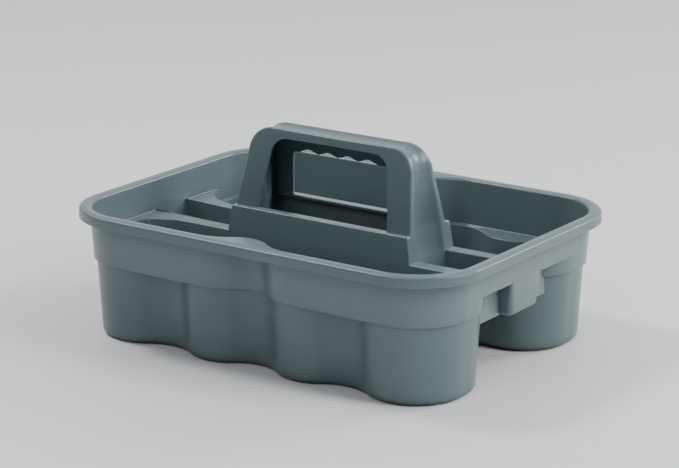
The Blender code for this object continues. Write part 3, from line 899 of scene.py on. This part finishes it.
def make_handle(plastic):
    """Hollow arch, open below: two fluted legs and a grip bar with finger hollows at the back."""
    legs = leg_stations()
    stations = legs + grip_stations()
    stations += [tuple((-x, z) for x, z in station) for station in reversed(legs)]
    arch = loft("handle_arch", [handle_section(station) for station in stations], plastic)
    body_piece(arch, "handle_left_leg", "handle_right_leg", "handle_grip")


# Discs under the feet -------------------------------------------------------------------------------
def make_discs(disc_material):
    """Thin discs under the troughs' ends. Each reaches up past its node's top, to meet the floor."""
    for side in ("front", "rear"):
        for end in ("left", "right"):
            node = f"base_pad_{side}_{end}"
            low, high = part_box(node)
            centre = 0.5 * (low + high)
            radius = 0.5 * (high.x - low.x)
            middle_r = 0.3 * radius
            gap = 0.3 * MM
            top = high.z + gap
            profile = rounded((
                (middle_r, low.z, 0.0),
                (radius, low.z, 0.25 * MM),
                (radius, top, 0.0),
                (middle_r, top, 0.0),
            ), 4)
            loops = [at_height(circle(centre.x, centre.y, r, 72), z) for r, z in profile]
            disc = loft(f"{node}_disc", loops, disc_material)
            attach(disc, "root")
            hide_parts(node)


# Materials ------------------------------------------------------------------------------------------
def new_material(name):
    """New material with its node tree and its shader node."""
    material = bpy.data.materials.new(name)
    material.use_nodes = True
    tree = material.node_tree
    return material, tree, tree.nodes["Principled BSDF"]


def add_node(tree, kind, **inputs):
    """New node with these input values."""
    node = tree.nodes.new(kind)
    for key, value in inputs.items():
        node.inputs[key.replace("_", " ")].default_value = value
    return node


def noise(tree, coords, scale, detail, roughness=0.5):
    """Noise texture at these coordinates."""
    node = add_node(tree, "ShaderNodeTexNoise", Scale=scale, Detail=detail, Roughness=roughness)
    tree.links.new(coords, node.inputs["Vector"])
    return node.outputs["Fac"]


def ramp(tree, source, stops):
    """Colour ramp with (position, grey or colour) stops."""
    node = tree.nodes.new("ShaderNodeValToRGB")
    elements = node.color_ramp.elements
    while len(elements) < len(stops):
        elements.new(0.5)
    for element, (position, value) in zip(elements, stops):
        element.position = position
        element.color = (value, value, value, 1.0) if isinstance(value, float) else (*value, 1.0)
    tree.links.new(source, node.inputs["Fac"])
    return node.outputs["Color"]


def mix_colour(tree, factor, a, b, mode="MIX"):
    """Mix of two colours, where each of factor, a and b is a value or another node's output."""
    node = tree.nodes.new("ShaderNodeMix")
    node.data_type = "RGBA"
    node.blend_type = mode
    # A colour mix has its factor in socket 0, its colours in 6 and 7, and its result in output 2.
    for socket, value in ((node.inputs[0], factor), (node.inputs[6], a), (node.inputs[7], b)):
        if hasattr(value, "is_output"):
            tree.links.new(value, socket)
        elif isinstance(value, tuple):
            socket.default_value = (*value, 1.0)
        else:
            socket.default_value = value
    return node.outputs[2]


def bump(tree, height, strength, distance, normal=None):
    """Surface normal tilted by this height, on top of another normal if there is one."""
    node = add_node(tree, "ShaderNodeBump", Strength=strength, Distance=distance)
    tree.links.new(height, node.inputs["Height"])
    if normal is not None:
        tree.links.new(normal, node.inputs["Normal"])
    return node.outputs["Normal"]


def satin_plastic():
    """Moulded polypropylene: fine satin grain, faint flow mottling, a painted highlight that pales the
    convex edges, and painted shade in hollows and creases.
    """
    material, tree, shader = new_material("satin_polypropylene")
    coords = tree.nodes.new("ShaderNodeTexCoord").outputs["Object"]
    mottling = noise(tree, coords, 9.0, 2.0, 0.5)
    tone = ramp(tree, mottling, ((0.12, PLASTIC_DEEP), (0.50, PLASTIC_BASE), (0.95, PLASTIC_PALE)))
    colour = mix_colour(tree, 0.35, PLASTIC_BASE, tone)
    speckle = ramp(tree, noise(tree, coords, 900.0, 2.0), ((0.1, 0.90), (0.9, 1.08)))
    colour = mix_colour(tree, 0.3, colour, speckle, "MULTIPLY")
    # Painted highlight: edges that pointiness finds convex are painted paler, standing in for light caught
    # on the fillets.
    edges = tree.nodes.new("ShaderNodeNewGeometry").outputs["Pointiness"]
    painted_edge_highlight = ramp(tree, edges, ((0.50, 0.0), (0.56, 0.35), (0.62, 0.6)))
    colour = mix_colour(tree, painted_edge_highlight, colour, PLASTIC_PALE)
    # Painted shade: ambient occlusion darkens the colour in hollows, creases and under overhangs such as
    # the rim's lip.
    hollows = add_node(tree, "ShaderNodeAmbientOcclusion", Distance=15.0 * MM)
    hollows.samples = 8
    painted_crease_shade = ramp(tree, hollows.outputs["AO"], ((0.25, 0.30), (0.55, 0.78), (0.80, 1.0)))
    colour = mix_colour(tree, 1.0, colour, painted_crease_shade, "MULTIPLY")
    tree.links.new(colour, shader.inputs["Base Color"])
    gloss = ramp(tree, noise(tree, coords, 24.0, 2.0), ((0.05, 0.285), (0.95, 0.37)))
    tree.links.new(gloss, shader.inputs["Roughness"])
    shader.inputs["Metallic"].default_value = 0.0
    shader.inputs["IOR"].default_value = 1.49
    waves = bump(tree, noise(tree, coords, 7.0, 1.0), 0.2, 0.0006)
    grain = bump(tree, noise(tree, coords, 1500.0, 3.0, 0.6), 0.12, 0.00008, waves)
    tree.links.new(grain, shader.inputs["Normal"])
    return material


def gloss_disc():
    """The smoother, paler discs under the feet."""
    material, tree, shader = new_material("gloss_disc")
    coords = tree.nodes.new("ShaderNodeTexCoord").outputs["Object"]
    tone = ramp(tree, noise(tree, coords, 60.0, 3.0), ((0.3, DISC_DEEP), (0.7, DISC_PALE)))
    tree.links.new(tone, shader.inputs["Base Color"])
    gloss = ramp(tree, noise(tree, coords, 140.0, 4.0), ((0.3, 0.10), (0.7, 0.20)))
    tree.links.new(gloss, shader.inputs["Roughness"])
    scratches = bump(tree, noise(tree, coords, 420.0, 3.0), 0.12, 0.00005)
    tree.links.new(scratches, shader.inputs["Normal"])
    return material


def floor_material():
    """Plain pale floor."""
    material, _, shader = new_material("pale_floor")
    shader.inputs["Base Color"].default_value = FLOOR_COLOUR
    shader.inputs["Roughness"].default_value = 0.6
    return material


# Studio ---------------------------------------------------------------------------------------------
def make_floor():
    """Round floor, a hair under the feet."""
    mesh_data = bmesh.new()
    floor_z = -0.2 * MM
    rings = [at_height(circle(0.0, 0.0, radius, 64), floor_z) for radius in (0.5, 3.0, 9.0)]
    rows = add_rows(mesh_data, rings)
    mesh_data.faces.new(rows[0])
    floor = finish_mesh("studio_floor", mesh_data, floor_material())


def add_area_light(name, place, target, size, power, colour=(1.0, 1.0, 1.0)):
    """Rectangular lamp that faces the target."""
    lamp = bpy.data.lights.new(name, "AREA")
    lamp.shape = "RECTANGLE"
    lamp.size, lamp.size_y = size
    lamp.energy = power
    lamp.color = colour
    item = bpy.data.objects.new(name, lamp)
    item.location = place
    item.rotation_euler = (Vector(target) - Vector(place)).to_track_quat("-Z", "Y").to_euler()
    bpy.context.scene.collection.objects.link(item)


def make_studio():
    """Floor, four soft lights and the light all round."""
    make_floor()
    middle = (0.0, 0.0, 0.08)
    add_area_light("right_key", (2.15, 0.4, 1.45), middle, (0.8, 1.5), 48.0, (1.0, 0.985, 0.97))
    add_area_light("rear_right_strip", (1.2, 2.0, 1.25), middle, (0.8, 0.8), 34.0)
    add_area_light("top_left_soft", (-1.35, -0.25, 2.05), middle, (0.45, 0.45), 32.0)
    add_area_light("front_fill", (0.3, -1.9, 1.9), middle, (1.4, 1.0), 15.0, (0.97, 0.99, 1.0))
    bpy.context.scene.world = backdrop_light()


def backdrop_light():
    """White light all round, strongest from behind the object, as off a lit backdrop."""
    world = bpy.data.worlds.new("studio")
    world.use_nodes = True
    tree = world.node_tree
    background = tree.nodes["Background"]
    background.inputs["Color"].default_value = (0.93, 0.96, 1.0, 1.0)
    direction = tree.nodes.new("ShaderNodeTexCoord").outputs["Generated"]
    axes = tree.nodes.new("ShaderNodeSeparateXYZ")
    tree.links.new(direction, axes.inputs["Vector"])
    level = tree.nodes.new("ShaderNodeMapRange")
    for key, value in (("From Min", -0.6), ("From Max", 0.8), ("To Min", 0.22), ("To Max", 1.2)):
        level.inputs[key].default_value = value
    tree.links.new(axes.outputs["Y"], level.inputs["Value"])
    tree.links.new(level.outputs["Result"], background.inputs["Strength"])
    return world


def make_camera():
    """Three-quarter view from the front right, a little above the rim, with a long lens."""
    azimuth = math.radians(35.0)
    elevation = math.radians(16.0)
    distance = 2.05
    aim = Vector((0.0, 0.0, 0.5 * TOP_Z))
    back = Vector((
        math.sin(azimuth) * math.cos(elevation),
        -math.cos(azimuth) * math.cos(elevation),
        math.sin(elevation),
    ))
    lens = bpy.data.cameras.new("photo_camera")
    lens.lens = 132.0
    lens.sensor_width = 36.0
    camera = bpy.data.objects.new("photo_camera", lens)
    camera.location = aim + back * distance
    camera.rotation_euler = (-back).to_track_quat("-Z", "Y").to_euler()
    bpy.context.scene.collection.objects.link(camera)
    bpy.context.scene.camera = camera


make_camera()
plastic = satin_plastic()
make_troughs(plastic)
make_rim(plastic)
make_rim_ribs(plastic)
make_decks(plastic)
make_pockets(plastic)
make_channel_plates(plastic)
make_tower_ends(plastic)
make_tower_sides(plastic)
make_handle(plastic)
make_discs(gloss_disc())
make_studio()
